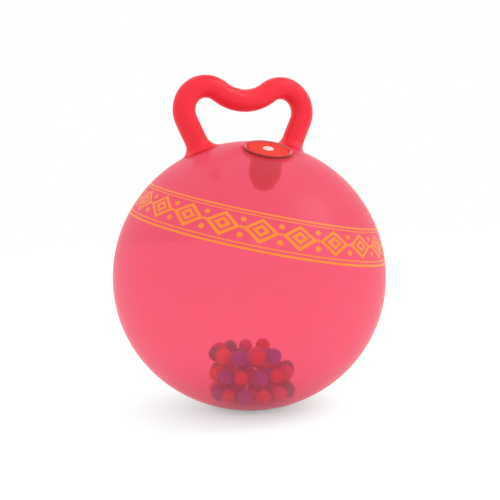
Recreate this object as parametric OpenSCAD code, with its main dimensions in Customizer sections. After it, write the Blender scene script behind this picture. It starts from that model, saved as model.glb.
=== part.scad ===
// Hopper ball: an inflated see-through ball with a moulded loop handle, a push-in light pod in a
// pocket beside the handle, a plugged inflation valve and a heap of loose pompoms inside.
// The ball rests on z = 0 with its axis on z. The handle's loop lies in the xz plane, the pod
// leans towards -y and the valve towards +y.

/* [Ball] */
// Diameter of the inflated ball across its equator
ball_d = 381; // [320:1:460]
// Thickness of the vinyl skin
skin_wall = 2.2; // [1.2:0.1:4]
// How far the ball's weight lowers its equator below that of a true sphere
seat_sag = 7.5; // [4:0.5:12]
// How deep the flat contact patch cuts into the base
patch_depth = 2; // [1:0.25:3]

/* [Handle] */
// Diameter of the hollow grip tube
grip_d = 31; // [24:1:36]
// Wall of the grip tube
grip_wall = 4; // [2:0.5:6]
// Distance of each hump's arc centre from the middle of the handle
hump_x = 56.5; // [50:0.5:70]
// Height of the hump arc centres above the ball's crown
hump_rise = 41.5; // [38:0.5:55]
// Radius of the hump arcs along the middle of the tube
hump_r = 33; // [29:0.5:38]
// Height of the middle of the tube at the dip above the ball's crown
dip_rise = 56; // [50:0.5:65]
// Lean of the two legs from upright
leg_lean = 25; // [18:1:32]
// Radius of the fillet that spreads each leg onto the ball
foot_fillet = 15; // [8:1:20]

/* [Pocket] */
// Angle between the ball's axis and the pod's axis
pod_polar = 22.5; // [20:0.5:40]
// Wall of the moulded pocket
pocket_wall = 2; // [1.2:0.1:3]
// Width of the raised lip round the lid
lip_w = 3.8; // [2.5:0.1:5]
// Height of the lip above the lid's face
lip_rise = 0.8; // [0.2:0.1:2]
// Width of the weld band outside the lip
weld_w = 5.5; // [4:0.5:10]
// Thickness of the weld bands on the ball
weld_t = 0.8; // [0.6:0.1:2]
// Clearance between the pod and its pocket
pod_gap = 0.3; // [0.2:0.05:0.6]

/* [Light pod] */
// Width of the lid outside the heads of its screws
lid_rim = 0.9; // [0.5:0.1:6]
// Thickness of the lid
lid_t = 4; // [3.5:0.1:6]
// Height of the lid's face above the ball's crown
lid_rise = 0.2; // [0:0.1:2]
// Thickness of the shell's flange
flange_t = 3; // [2.6:0.1:5]
// Height of the cone between the flange and the pod's body
cone_h = 5; // [4:0.5:8]
// Diameter of the pod's body
pod_d = 39; // [38:0.5:46]
// Wall of the pod's shell
pod_wall = 1.8; // [1.2:0.1:2.4]
// Height of the pod's straight wall below its seal ring
seal_land = 6; // [3:0.5:15]
// Height of the tapered end of the pod
taper_h = 15; // [8:0.5:20]
// Diameter of the pod's tip
tip_d = 21; // [16:0.5:28]
// Diameter of the lid screws
screw_d = 2; // [2:0.1:3]
// Thickness of the seal ring round the pod
seal_d = 1.6; // [1:0.1:2]

/* [Push button] */
// Diameter of the button's cap
button_d = 14.5; // [12:0.5:16]
// Height of the cap above the lid
button_rise = 0.6; // [0.3:0.1:1.5]
// Travel of the button
button_travel = 0.8; // [0.4:0.1:1]
// Thickness of the collar that keeps the button under the lid
collar_t = 1.2; // [0.8:0.1:2]
// Width of that collar outside the cap
collar_w = 1.75; // [1:0.25:3]
// Length of the stem under the collar
stem_h = 3.4; // [3:0.1:6]

/* [Electronics] */
// Thickness of the circuit board
board_t = 1.6; // [1:0.1:2]
// Width of the tact switch
switch_w = 6; // [4.5:0.5:6]
// Height of the tact switch's case
switch_h = 3.5; // [3:0.1:5]
// Diameter of the switch's plunger
plunger_d = 3.5; // [2.5:0.1:3.5]
// Diameter of a button cell
cell_d = 7.9; // [6.8:0.1:9.5]
// Height of a button cell
cell_h = 3.6; // [2.6:0.1:5.4]
// Diameter of a lamp
led_d = 5; // [3:0.5:5]
// Length of a lamp from its flange to the end of its dome
led_h = 8.6; // [6:0.1:9]

/* [Valve] */
// Angle between the ball's axis and the valve's axis
valve_polar = 38; // [30:1:60]
// Diameter of the valve's bore
valve_bore = 8; // [6:0.5:10]
// Depth of the valve's tube inside the skin
valve_h = 14; // [10:1:20]
// Diameter of the plug's head
plug_head_d = 17; // [14:0.5:20]

/* [Pompoms] */
// Diameter of a pompom
pompom_d = 25; // [22:0.5:25]
// Gap between neighbouring pompoms
pompom_gap = 0.3; // [0.2:0.05:0.6]

/* [Hidden] */
$fn = 96;
cut = 1;             // overrun of a cut past the face that it opens
weld_gap = 0.1;      // gap between pieces that are welded together
thread_gap = 0.05;   // gap round a screw's thread and round a pressed-in piece
run_gap = 0.2;       // running clearance of the button and its plunger

// Ball: an upper hemisphere, then a shoulder arc and a base arc that meet in a tangent
ball_r = ball_d / 2;
inset_share = 1.64;
flat_drop = seat_sag - patch_depth;
shoulder_in = inset_share * flat_drop;
shoulder_r = ball_r - shoulder_in;
base_lift = (pow(shoulder_in, 2) - pow(shoulder_in - flat_drop, 2)) / (2 * (shoulder_in - flat_drop));
base_r = ball_r - flat_drop + base_lift;
tangent_way = [shoulder_in, -base_lift] / norm([shoulder_in, base_lift]);
equator_z = ball_r - seat_sag;
mask_r = 2 * ball_d;

// Handle: the dip's arc touches both hump arcs, and a leg runs on from each hump's end
grip_r = grip_d / 2;
grip_bore_r = grip_r - grip_wall;
hump_z = ball_r + hump_rise;
dip_lift = dip_rise - hump_rise;
dip_r = (pow(hump_x, 2) + pow(dip_lift, 2) - pow(hump_r, 2)) / (2 * (hump_r - dip_lift));
dip_z = ball_r + dip_rise + dip_r;
join_angle = atan2(dip_z - hump_z, hump_x);
leg_top = [hump_x + hump_r * cos(leg_lean), 0, hump_z - hump_r * sin(leg_lean)];
leg_up = [sin(leg_lean), 0, cos(leg_lean)];
leg_out = [cos(leg_lean), 0, -sin(leg_lean)];
leg_dot = leg_top * leg_up;
foot = leg_top - (leg_dot - sqrt(pow(leg_dot, 2) - leg_top * leg_top + pow(ball_r, 2))) * leg_up;
handle_sides = 20;
hump_steps = 12;
dip_steps = 4;
flare_angles = [75, 55, 35, 15, 0];
flare_r = grip_r + foot_fillet * (1 - cos(flare_angles[0]));
flare_side = 2 * flare_r * sin(180 / handle_sides);
// A flat facet under a foot lies lower than the ball's curve by this much at most
foot_sag = (pow(flare_r - grip_bore_r, 2) + pow(flare_side, 2)) / (8 * ball_r);

// Levels of the pod, from the ball's crown outwards
lid_bottom = lid_rise - lid_t;
flange_bottom = lid_bottom - flange_t;
cone_bottom = flange_bottom - cone_h;
pod_r = pod_d / 2;
tip_r = tip_d / 2;
shell_bore_r = pod_r - pod_wall;
lid_edge = 0.6;

// The lid reaches past a gasket and three screws that come from below
gasket_w = 2;
gasket_t = 1;
gasket_r = pod_r + gasket_w / 2;
screw_count = 3;
screw_r = screw_d / 2;
head_r_share = 1.05;
head_h_share = 0.6;
screw_head_r = head_r_share * screw_d;
screw_head_h = head_h_share * screw_d;
screw_pitch_r = gasket_r + gasket_w + screw_head_r + run_gap;
lid_r = screw_pitch_r + screw_head_r + run_gap + lid_rim;

// Pocket, which follows the pod's outside at its clearance
lip_in_r = lid_r + 2 * pod_gap;
lip_out_r = lip_in_r + lip_w;
lip_top = lid_rise + lip_rise;
lip_edge = lip_w / 3;
weld_r = lip_out_r + weld_w;
cup_r = pod_r + pod_gap;
seat_z = flange_bottom - pod_gap;

// Lid: its spigot, and how deep the screws go
spigot_w = 1.5;
spigot_h = 2;
screw_floor = lid_bottom - flange_t / 2;
screw_deep_share = 0.7;
screw_top = lid_bottom + screw_deep_share * lid_t;

// Button and the switch below it
button_r = button_d / 2;
button_bore_r = button_r + run_gap;
button_top = lid_rise + button_rise;
collar_top = lid_bottom - run_gap;
collar_bottom = collar_top - collar_t;
stem_bottom = collar_bottom - stem_h;
plunger_r = plunger_d / 2;
switch_top = stem_bottom - button_travel - run_gap;
board_top = switch_top - switch_h;
board_bottom = board_top - board_t;
plunger_deep = switch_h / 3;
plunger_floor = switch_top - plunger_deep - button_travel - run_gap;
board_gap = 0.7;
board_r = shell_bore_r - board_gap;

// Cells in a tube beside the middle, on a spring, under a contact strip
cell_r = cell_d / 2;
cell_count = 3;
cell_gap = 0.2;
tube_r = cell_r + cell_gap;
tube_wall = 1.4;
cell_x = switch_w / 2 + tube_r + tube_wall + cell_gap;
cap_share = 0.82;
cap_h = 0.8;
spring_h = 2.5;
spring_wire = 0.5;
spring_turns = 3;
spring_sides = 6;
spring_rings = 16;
spring_r_share = 0.75;
tray_t = 2;
stack_bottom = board_top - cell_count * cell_h;
tube_floor = stack_bottom - spring_h;
tray_top = tube_floor;
tray_bottom = tray_top - tray_t;
strip_w = 4;
strip_t = 0.4;

// The shell's ledge carries the tray, and the seal ring lies below it
ledge_w = 2.2;
ledge_r = shell_bore_r - ledge_w;
seal_drop = 3.5;
seal_z = tray_bottom - seal_drop;
taper_z = seal_z - seal_land;
tip_z = taper_z - taper_h;
seal_r = seal_d / 2;
seal_mid_r = pod_r + pod_gap / 2 - seal_r;

// Lamps hang from the board on their leads and shine through the tray
led_count = 3;
led_step = 70;
led_r = led_d / 2;
led_rim_w = 0.4;
led_rim_h = 1;
led_pitch_r = ledge_r - ledge_w - led_r - led_rim_w;
lead_d = 0.6;
lead_share = 0.5;
post_angle = 35;
post_r = screw_d;
post_pitch_r = board_r - 2 * screw_d;

// Small parts on the board
chip_r = 4.5;
chip_h = 1.6;
can_r = 2.3;
can_h = 10;
can_gap = 1.5;
can_x = -(switch_w / 2 + can_gap + can_r);
part_y = 11;
resistor_r = 1.1;
resistor_h = 6.5;
resistor_step = 3.5;
resistor_lead = 1.5;

// Valve and its plug
valve_bore_r = valve_bore / 2;
valve_wall = 2.5;
valve_r = valve_bore_r + valve_wall;
valve_weld_r = plug_head_d / 2 + valve_wall;
plug_r = valve_bore_r - thread_gap;
plug_head_t = 2;
plug_edge = 0.6;
plug_deep_share = 0.85;

// Pompoms lie in rings on shells round the ball's centre, so that each layer can roll by itself
pompom_step = pompom_d + pompom_gap;
pompom_shell = equator_z - skin_wall - pompom_gap - pompom_d / 2;
ring_step = 6;
layer_turn = 23;
slope_count = 9;     // pompoms in the top layer's outer ring, which leaves one side of the heap lower
pompom_layers = ["low", "mid", "top"];
pompom_colours = ["red", "orange", "pink", "violet", "teal"];
pompom_paints = ["crimson", "darkorange", "hotpink", "rebeccapurple", "teal"];

function pompom_node(layer, colour) = str("pompoms_", pompom_layers[layer], "_", pompom_colours[colour]);

// Places its children on the ball's crown, leaning by an angle towards -y
module on_ball(polar) {
    translate([0, 0, equator_z])
        rotate([polar, 0, 0])
            translate([0, 0, ball_r])
                children();
}

// A disc between two levels
module disc(r, bottom, top) {
    translate([0, 0, bottom])
        cylinder(r = r, h = top - bottom);
}

// Half outline of the ball about its centre, moved inwards
module ball_profile(inset) {
    intersection() {
        union() {
            intersection() {
                circle(ball_r - inset);
                square(mask_r);
            }
            intersection() {
                translate([shoulder_in, 0])
                    circle(shoulder_r - inset);
                translate([0, -mask_r])
                    square(mask_r);
            }
            intersection() {
                translate([0, base_lift])
                    circle(base_r - inset);
                polygon([
                    [0, base_lift],
                    [0, base_lift - mask_r],
                    [0, base_lift] + mask_r * tangent_way,
                ]);
            }
        }
        translate([0, inset - equator_z])
            square([ball_d, 2 * ball_d]);
    }
}

// A band that follows the ball's surface round an axis
module weld_band(inner_r, outer_r) {
    difference() {
        intersection() {
            translate([0, 0, -ball_r])
                sphere(ball_r + weld_t);
            disc(outer_r, -outer_r, outer_r);
        }
        translate([0, 0, -ball_r])
            sphere(ball_r + weld_gap);
        disc(inner_r, -2 * outer_r, 2 * outer_r);
    }
}

// The frame of one leg: its axis is z and the ball's surface is at zero
module on_leg() {
    translate([0, 0, equator_z] + foot)
        rotate([0, leg_lean, 0])
            children();
}

module ball_skin() {
    color([0.97, 0.36, 0.45, 0.6])
        difference() {
            translate([0, 0, equator_z])
                rotate_extrude()
                    ball_profile(0);
            translate([0, 0, equator_z])
                rotate_extrude()
                    ball_profile(skin_wall);
            on_ball(pod_polar)
                disc(lip_out_r + weld_gap, -lip_out_r, lip_out_r);
            on_ball(-valve_polar)
                disc(valve_r + weld_gap, -valve_h, valve_h);
            for (side = [0, 1])
                mirror([side, 0, 0])
                    on_leg()
                        disc(grip_bore_r, -2 * grip_wall, 2 * grip_wall);
        }
}

// Points of one ring of the handle: about a middle, square to an arc, or on a shell round the ball
function spoke(out, i) = cos(360 * i / handle_sides) * out + sin(360 * i / handle_sides) * [0, 1, 0];
function arc_ring(middle, out, r) = [for (i = [0 : handle_sides - 1]) middle + r * spoke(out, i)];
function shell_point(p, shell_r) =
    let (along = p * leg_up)
    p + (sqrt(pow(along, 2) - p * p + pow(shell_r, 2)) - along) * leg_up;
function foot_ring(r, rise) = [
    for (i = [0 : handle_sides - 1])
        shell_point(foot + r * spoke(leg_out, i), ball_r + weld_gap + foot_sag + rise)
];

// Rings of half the handle, from the foot at +x to the middle of the dip
function flare_ring(angle) =
    foot_ring(grip_r + foot_fillet * (1 - cos(angle)), foot_fillet * (1 - sin(angle)));
function hump_ring(i, r) =
    let (turn = -leg_lean + (180 - join_angle + leg_lean) * i / hump_steps)
    let (out = [cos(turn), 0, sin(turn)])
    arc_ring([hump_x, 0, hump_z] + hump_r * out, out, r);
function dip_ring(i, r) =
    let (turn = -join_angle - (90 - join_angle) * i / dip_steps)
    let (out = -[cos(turn), 0, sin(turn)])
    arc_ring([0, 0, dip_z] - dip_r * out, out, r);
function bow_rings(r) =
    concat([for (i = [0 : hump_steps]) hump_ring(i, r)], [for (i = [1 : dip_steps]) dip_ring(i, r)]);
outer_half = concat(
    [foot_ring(flare_r, 0)],
    [for (angle = flare_angles) flare_ring(angle)],
    bow_rings(grip_r)
);
bore_half = concat([foot_ring(grip_bore_r, 0)], bow_rings(grip_bore_r));

// The whole row of rings, with the other half mirrored
function mirrored(ring) = [for (p = ring) [-p[0], p[1], p[2]]];
function whole(half) = concat(half, [for (i = [len(half) - 2 : -1 : 0]) mirrored(half[i])]);
function joined(rings) = [for (ring = rings) for (p = ring) p];

// Triangles between two rows of points, by the index of each row's first point
function strip(a, b) = [
    for (i = [0 : handle_sides - 1]) let (j = (i + 1) % handle_sides)
        for (face = [[a + i, b + i, b + j], [a + i, b + j, a + j]]) face
];

module handle() {
    outer = whole(outer_half);
    bore = whole(bore_half);
    first = len(outer) * handle_sides;
    outer_last = first - handle_sides;
    bore_last = first + (len(bore) - 1) * handle_sides;
    sides = handle_sides;
    color([0.97, 0.2, 0.27])
        translate([0, 0, equator_z])
            polyhedron(
                points = concat(joined(outer), joined(bore)),
                faces = concat(
                    [for (k = [0 : len(outer) - 2]) for (face = strip(k * sides, (k + 1) * sides)) face],
                    [
                        for (k = [0 : len(bore) - 2])
                            for (face = strip(first + (k + 1) * sides, first + k * sides)) face
                    ],
                    strip(first, 0),
                    strip(outer_last, bore_last)
                )
            );
}

module pocket() {
    color([0.89, 0.26, 0.26, 0.7])
        on_ball(pod_polar) {
            rotate_extrude()
                polygon([
                    [lip_in_r, lip_top],
                    [lip_in_r, seat_z],
                    [cup_r, seat_z - cone_h],
                    [cup_r, taper_z],
                    [tip_r + pod_gap, tip_z - pod_gap],
                    [0, tip_z - pod_gap],
                    [0, tip_z - pod_gap - pocket_wall],
                    [tip_r + pod_gap + pocket_wall, tip_z - pod_gap - pocket_wall],
                    [cup_r + pocket_wall, taper_z],
                    [cup_r + pocket_wall, seat_z - cone_h - pocket_wall],
                    [lip_out_r, seat_z - pocket_wall],
                    [lip_out_r, lip_top - lip_edge],
                    [lip_out_r - lip_edge, lip_top],
                ]);
            weld_band(lip_in_r + lip_w / 2, weld_r);
        }
}

module valve_seat() {
    color([0.93, 0.3, 0.38])
        on_ball(-valve_polar)
            difference() {
                union() {
                    disc(valve_r, -valve_h, 0);
                    weld_band(valve_bore_r, valve_weld_r);
                }
                disc(valve_bore_r, -valve_h - cut, valve_h);
            }
}

module valve_plug() {
    color("white")
        on_ball(-valve_polar)
            translate([0, 0, weld_t + weld_gap])
                rotate_extrude()
                    polygon([
                        [0, plug_head_t],
                        [plug_head_d / 2 - plug_edge, plug_head_t],
                        [plug_head_d / 2, plug_head_t - plug_edge],
                        [plug_head_d / 2, 0],
                        [plug_r, 0],
                        [plug_r, -plug_deep_share * valve_h],
                        [plug_r - plug_edge, -plug_deep_share * valve_h - plug_edge],
                        [0, -plug_deep_share * valve_h - plug_edge],
                    ]);
}

// Places its children at each lid screw
module at_lid_screws() {
    for (i = [0 : screw_count - 1])
        rotate(360 * i / screw_count)
            translate([screw_pitch_r, 0, 0])
                children();
}

module pod_shell() {
    color([0.96, 0.35, 0.2, 0.8])
        on_ball(pod_polar)
            difference() {
                rotate_extrude()
                    polygon([
                        [shell_bore_r, lid_bottom],
                        [lid_r, lid_bottom],
                        [lid_r, flange_bottom],
                        [pod_r, cone_bottom],
                        [pod_r, taper_z],
                        [tip_r, tip_z],
                        [0, tip_z],
                        [0, tip_z + pod_wall],
                        [tip_r - pod_wall, tip_z + pod_wall],
                        [ledge_r, taper_z],
                        [ledge_r, tray_bottom],
                        [shell_bore_r, tray_bottom],
                    ]);
                translate([0, 0, seal_z - seal_r])
                    difference() {
                        disc(pod_r + cut, 0, seal_d);
                        disc(seal_mid_r - seal_r, -cut, seal_d + cut);
                    }
                at_lid_screws() {
                    disc(screw_r + run_gap, cone_bottom, lid_bottom + cut);
                    disc(screw_head_r + run_gap, cone_bottom, screw_floor);
                }
            }
}

module pod_lid() {
    color([1, 0.36, 0.18])
        on_ball(pod_polar)
            difference() {
                rotate_extrude()
                    polygon([
                        [button_bore_r, lid_rise],
                        [lid_r - lid_edge, lid_rise],
                        [lid_r, lid_rise - lid_edge],
                        [lid_r, lid_bottom],
                        [gasket_r + gasket_w / 2, lid_bottom],
                        [gasket_r + gasket_w / 2, lid_bottom + gasket_t],
                        [gasket_r - gasket_w / 2, lid_bottom + gasket_t],
                        [gasket_r - gasket_w / 2, lid_bottom],
                        [shell_bore_r - run_gap, lid_bottom],
                        [shell_bore_r - run_gap, lid_bottom - spigot_h],
                        [shell_bore_r - run_gap - spigot_w, lid_bottom - spigot_h],
                        [shell_bore_r - run_gap - spigot_w, lid_bottom],
                        [button_bore_r, lid_bottom],
                    ]);
                at_lid_screws()
                    disc(screw_r + thread_gap, lid_bottom - cut, screw_top);
            }
}

module lid_gasket() {
    color([0.35, 0.1, 0.1])
        on_ball(pod_polar)
            difference() {
                disc(gasket_r + gasket_w / 2, lid_bottom, lid_bottom + gasket_t);
                disc(gasket_r - gasket_w / 2, lid_bottom - cut, lid_bottom + gasket_t + cut);
            }
}

module pod_seal() {
    color([0.35, 0.1, 0.1])
        on_ball(pod_polar)
            translate([0, 0, seal_z])
                rotate_extrude()
                    translate([seal_mid_r, 0])
                        circle(seal_r);
}

module lid_screws() {
    color("silver")
        on_ball(pod_polar)
            at_lid_screws() {
                disc(screw_r, screw_floor - screw_head_h, screw_top);
                disc(screw_head_r, screw_floor - screw_head_h, screw_floor);
            }
}

module push_button() {
    color("white")
        on_ball(pod_polar)
            rotate_extrude()
                polygon([
                    [0, button_top],
                    [button_r - lid_edge, button_top],
                    [button_r, button_top - lid_edge],
                    [button_r, collar_top],
                    [button_r + collar_w, collar_top],
                    [button_r + collar_w, collar_bottom],
                    [plunger_r, collar_bottom],
                    [plunger_r, stem_bottom],
                    [0, stem_bottom],
                ]);
}

module switch_body() {
    color([0.12, 0.12, 0.12])
        on_ball(pod_polar)
            difference() {
                translate([-switch_w / 2, -switch_w / 2, board_top])
                    cube([switch_w, switch_w, switch_h]);
                disc(plunger_r + run_gap, plunger_floor, switch_top + cut);
            }
}

module switch_plunger() {
    color([0.25, 0.25, 0.25])
        on_ball(pod_polar)
            disc(plunger_r, switch_top - plunger_deep, stem_bottom);
}

// Places its children at each board screw
module at_board_screws() {
    for (side = [-1, 1])
        rotate(180 + side * post_angle)
            translate([post_pitch_r, 0, 0])
                children();
}

// Places its children at one lamp
module at_led(i) {
    rotate(180 + led_step * (i - (led_count - 1) / 2))
        translate([led_pitch_r, 0, 0])
            children();
}

module main_board() {
    color([0.1, 0.4, 0.2])
        on_ball(pod_polar)
            difference() {
                disc(board_r, board_bottom, board_top);
                translate([cell_x, 0, 0])
                    disc(tube_r, board_bottom - cut, board_top + cut);
                at_board_screws()
                    disc(screw_r + run_gap, board_bottom - cut, board_top + cut);
            }
}

module control_chip() {
    color([0.08, 0.08, 0.08])
        on_ball(pod_polar)
            translate([0, part_y, board_top])
                intersection() {
                    translate([0, 0, chip_h / 2 - pow(chip_r, 2) / (2 * chip_h)])
                        sphere((pow(chip_r, 2) / chip_h + chip_h) / 2);
                    disc(chip_r, 0, chip_h);
                }
}

module motion_switch() {
    color("silver")
        on_ball(pod_polar)
            translate([can_x, -can_h / 2, board_top + can_r])
                rotate([-90, 0, 0])
                    disc(can_r, 0, can_h);
}

// A resistor lying along x, with its leads bent down to the board
module resistor() {
    reach = resistor_h / 2 + resistor_lead;
    lead_r = lead_d / 2;
    translate([-resistor_h / 2, 0, resistor_r])
        rotate([0, 90, 0])
            disc(resistor_r, 0, resistor_h);
    translate([-reach, 0, resistor_r])
        rotate([0, 90, 0])
            disc(lead_r, 0, 2 * reach);
    for (side = [-1, 1])
        translate([side * (reach - lead_r), 0, 0])
            disc(lead_r, 0, resistor_r);
}

module resistors() {
    color("tan")
        on_ball(pod_polar)
            for (i = [0, 1])
                translate([0, -part_y - (i - 1) * resistor_step, board_top])
                    resistor();
}

module board_screws() {
    color("silver")
        on_ball(pod_polar)
            at_board_screws() {
                disc(screw_r, board_bottom - 2 * screw_d, board_top + screw_head_h);
                disc(screw_head_r, board_top, board_top + screw_head_h);
            }
}

module battery_tray() {
    color("ivory")
        on_ball(pod_polar)
            difference() {
                union() {
                    disc(shell_bore_r - thread_gap, tray_bottom, tray_top);
                    translate([cell_x, 0, 0])
                        disc(tube_r + tube_wall, tray_bottom, board_bottom);
                    at_board_screws()
                        disc(post_r, tray_bottom, board_bottom);
                }
                translate([cell_x, 0, 0])
                    disc(tube_r, tube_floor, board_bottom + cut);
                at_board_screws()
                    disc(screw_r + thread_gap, board_bottom - 3 * screw_d, board_bottom + cut);
                for (i = [0 : led_count - 1])
                    at_led(i)
                        disc(led_r + thread_gap, tray_bottom - cut, tray_top + cut);
            }
}

// One of the stacked cells, with its smaller cap below
module cell(i) {
    top = board_top - i * cell_h;
    color("lightgray")
        on_ball(pod_polar)
            translate([cell_x, 0, 0]) {
                disc(cell_r, top - cell_h + cap_h, top);
                disc(cap_share * cell_r, top - cell_h, top - cap_h);
            }
}

module positive_contact() {
    color("gold")
        on_ball(pod_polar)
            translate([cell_x - strip_w / 2, -tube_r - strip_w, board_top])
                cube([strip_w, tube_r + 2 * strip_w, strip_t]);
}

// Points and faces of a wire wound along z
spring_count = spring_turns * spring_rings;
spring_mid_r = spring_r_share * cell_r;
spring_rise = spring_h - spring_wire;
function wire_point(k, s) =
    let (turn = 360 * k / spring_rings)
    let (side = 360 * s / spring_sides)
    let (r = spring_mid_r + spring_wire / 2 * cos(side))
    [r * cos(turn), r * sin(turn), spring_rise * k / spring_count + spring_wire / 2 * (1 + sin(side))];
function wire_index(k, s) = k * spring_sides + s % spring_sides;

module negative_spring() {
    color("silver")
        on_ball(pod_polar)
            translate([cell_x, 0, tube_floor])
                polyhedron(
                    points = [
                        for (k = [0 : spring_count]) for (s = [0 : spring_sides - 1]) wire_point(k, s)
                    ],
                    faces = concat(
                        [[for (s = [0 : spring_sides - 1]) s]],
                        [[for (s = [spring_sides - 1 : -1 : 0]) wire_index(spring_count, s)]],
                        [
                            for (k = [0 : spring_count - 1]) for (s = [0 : spring_sides - 1])
                                [wire_index(k, s), wire_index(k + 1, s), wire_index(k + 1, s + 1)]
                        ],
                        [
                            for (k = [0 : spring_count - 1]) for (s = [0 : spring_sides - 1])
                                [wire_index(k, s), wire_index(k + 1, s + 1), wire_index(k, s + 1)]
                        ]
                    )
                );
}

// A domed lamp that points down through the tray, with two leads up to the board
module led(i) {
    dome_z = tray_top + led_rim_h - led_h + led_r;
    color([0.9, 0.95, 1])
        on_ball(pod_polar)
            at_led(i) {
                disc(led_r + led_rim_w, tray_top, tray_top + led_rim_h);
                disc(led_r, dome_z, tray_top + led_rim_h);
                translate([0, 0, dome_z])
                    sphere(led_r);
                for (side = [-1, 1])
                    translate([0, side * lead_share * led_r, 0])
                        disc(lead_d / 2, tray_top, board_bottom);
            }
}

// Places of the pompoms of one layer, in rings about the ball's axis
function ring_count(ring) = ring == 0 ? 1 : ring_step * ring;
function ring_place(layer, ring, i) =
    let (shell = pompom_shell - layer * pompom_step)
    let (polar = ring * asin(pompom_step / shell))
    let (lean = ring == 0 ? 0 : 2 * asin(pompom_step / (2 * shell * sin(polar))))
    let (turn = layer_turn * layer + lean * i)
    shell * [sin(polar) * cos(turn), sin(polar) * sin(turn), -cos(polar)];
function ring_places(layer, rings) =
    [for (ring = [0 : rings]) for (i = [0 : ring_count(ring) - 1]) ring_place(layer, ring, i)];
layer_places = [
    ring_places(0, 2),
    ring_places(1, 2),
    concat(ring_places(2, 1), [for (i = [0 : slope_count - 1]) ring_place(2, 2, i)]),
];

// Which colour the pompom at a place in its layer's list has
function paint_of(i) = (2 * i + floor(i / len(pompom_colours))) % len(pompom_colours);

module pompoms(layer, colour) {
    places = layer_places[layer];
    color(pompom_paints[colour])
        for (i = [0 : len(places) - 1])
            if (paint_of(i) == colour)
                translate([0, 0, equator_z] + places[i])
                    sphere(pompom_d / 2);
}

ball_skin();
handle();
pocket();
valve_seat();
valve_plug();
pod_shell();
pod_lid();
lid_gasket();
pod_seal();
lid_screws();
push_button();
switch_body();
switch_plunger();
main_board();
control_chip();
motion_switch();
resistors();
board_screws();
battery_tray();
positive_contact();
negative_spring();
for (i = [1 : cell_count])
    cell(i - 1);
for (i = [1 : led_count])
    led(i - 1);
for (l = [0 : len(pompom_layers) - 1])
    for (c = [0 : len(pompom_colours) - 1])
        pompoms(l, c);
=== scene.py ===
import math
import bmesh
import bpy
from mathutils import Matrix, Vector


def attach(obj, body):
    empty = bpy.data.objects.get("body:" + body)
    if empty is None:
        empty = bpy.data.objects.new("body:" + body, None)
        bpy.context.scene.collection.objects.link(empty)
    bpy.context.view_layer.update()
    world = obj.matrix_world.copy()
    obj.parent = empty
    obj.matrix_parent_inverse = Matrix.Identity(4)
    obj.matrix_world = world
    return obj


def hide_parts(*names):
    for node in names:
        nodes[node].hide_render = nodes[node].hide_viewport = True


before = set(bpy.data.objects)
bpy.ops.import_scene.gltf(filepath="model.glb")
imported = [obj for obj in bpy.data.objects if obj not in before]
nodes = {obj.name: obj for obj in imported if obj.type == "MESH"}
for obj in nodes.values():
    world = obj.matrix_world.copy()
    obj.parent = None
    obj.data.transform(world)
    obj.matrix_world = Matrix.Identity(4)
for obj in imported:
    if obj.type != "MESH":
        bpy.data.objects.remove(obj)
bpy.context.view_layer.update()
scene = bpy.context.scene
mm = 0.001  # the sizes below are in millimetres
print("frame loaded:", len(nodes), "nodes")


# shared helpers
def makePiece(name, points, faces, *finishes):
    data = bpy.data.meshes.new(name)
    data.from_pydata([[c * mm for c in p] for p in points], [], faces)
    for finish in finishes:
        data.materials.append(finish)
    data.polygons.foreach_set("use_smooth", [True] * len(data.polygons))
    data.update()
    piece = bpy.data.objects.new(name, data)
    scene.collection.objects.link(piece)
    return piece


def tidyMesh(data, sharp):  # close seams and poles, turn faces outwards, mark hard edges
    work = bmesh.new()
    work.from_mesh(data)
    bmesh.ops.remove_doubles(work, verts=work.verts, dist=2e-6)
    bmesh.ops.dissolve_degenerate(work, edges=work.edges, dist=1e-7)
    bmesh.ops.recalc_face_normals(work, faces=work.faces)
    work.to_mesh(data)
    work.free()
    data.set_sharp_from_angle(angle=math.radians(sharp))


def dress(piece, body, slotName, *hidden):
    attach(piece, body)
    if hidden:
        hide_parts(*hidden)


def addNode(tree, kind, sockets=None, **settings):
    made = tree.nodes.new(kind)
    for key, value in settings.items():
        setattr(made, key, value)
    for key, value in (sockets or {}).items():
        if isinstance(value, bpy.types.NodeSocket):
            tree.links.new(value, made.inputs[key])
        else:
            made.inputs[key].default_value = value
    return made


def calc(tree, op, *terms):
    return addNode(tree, "ShaderNodeMath", dict(enumerate(terms)), operation=op).outputs[0]


def vectorCalc(tree, op, *terms):
    return addNode(tree, "ShaderNodeVectorMath", dict(enumerate(terms)), operation=op).outputs


def newFinish(name):
    finish = bpy.data.materials.new(name)
    finish.use_nodes = True
    finish.node_tree.nodes.clear()
    return finish, finish.node_tree


def endFinish(tree, shader):
    out = addNode(tree, "ShaderNodeOutputMaterial")
    tree.links.new(shader.outputs[0], out.inputs[0])


grain = dict(tintDetail=4.0, reliefDetail=3.0, bump=0.35)


# object-space noise, one for tint and one for relief
def grainNodes(tree, tintScale, reliefScale, reliefDepth):
    place = addNode(tree, "ShaderNodeTexCoord").outputs["Object"]
    tint = addNode(tree, "ShaderNodeTexNoise", {"Vector": place, "Scale": tintScale, "Detail": grain["tintDetail"]})
    relief = addNode(tree, "ShaderNodeTexNoise", {
        "Vector": place, "Scale": reliefScale, "Detail": grain["reliefDetail"]})
    bump = addNode(tree, "ShaderNodeBump", {
        "Strength": grain["bump"], "Distance": reliefDepth * mm, "Height": relief.outputs[0]})
    return tint.outputs[0], bump.outputs["Normal"]


def tintMix(tree, factor, low, high):
    return addNode(tree, "ShaderNodeMix", {0: factor, 6: low, 7: high}, data_type="RGBA").outputs[2]


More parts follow.
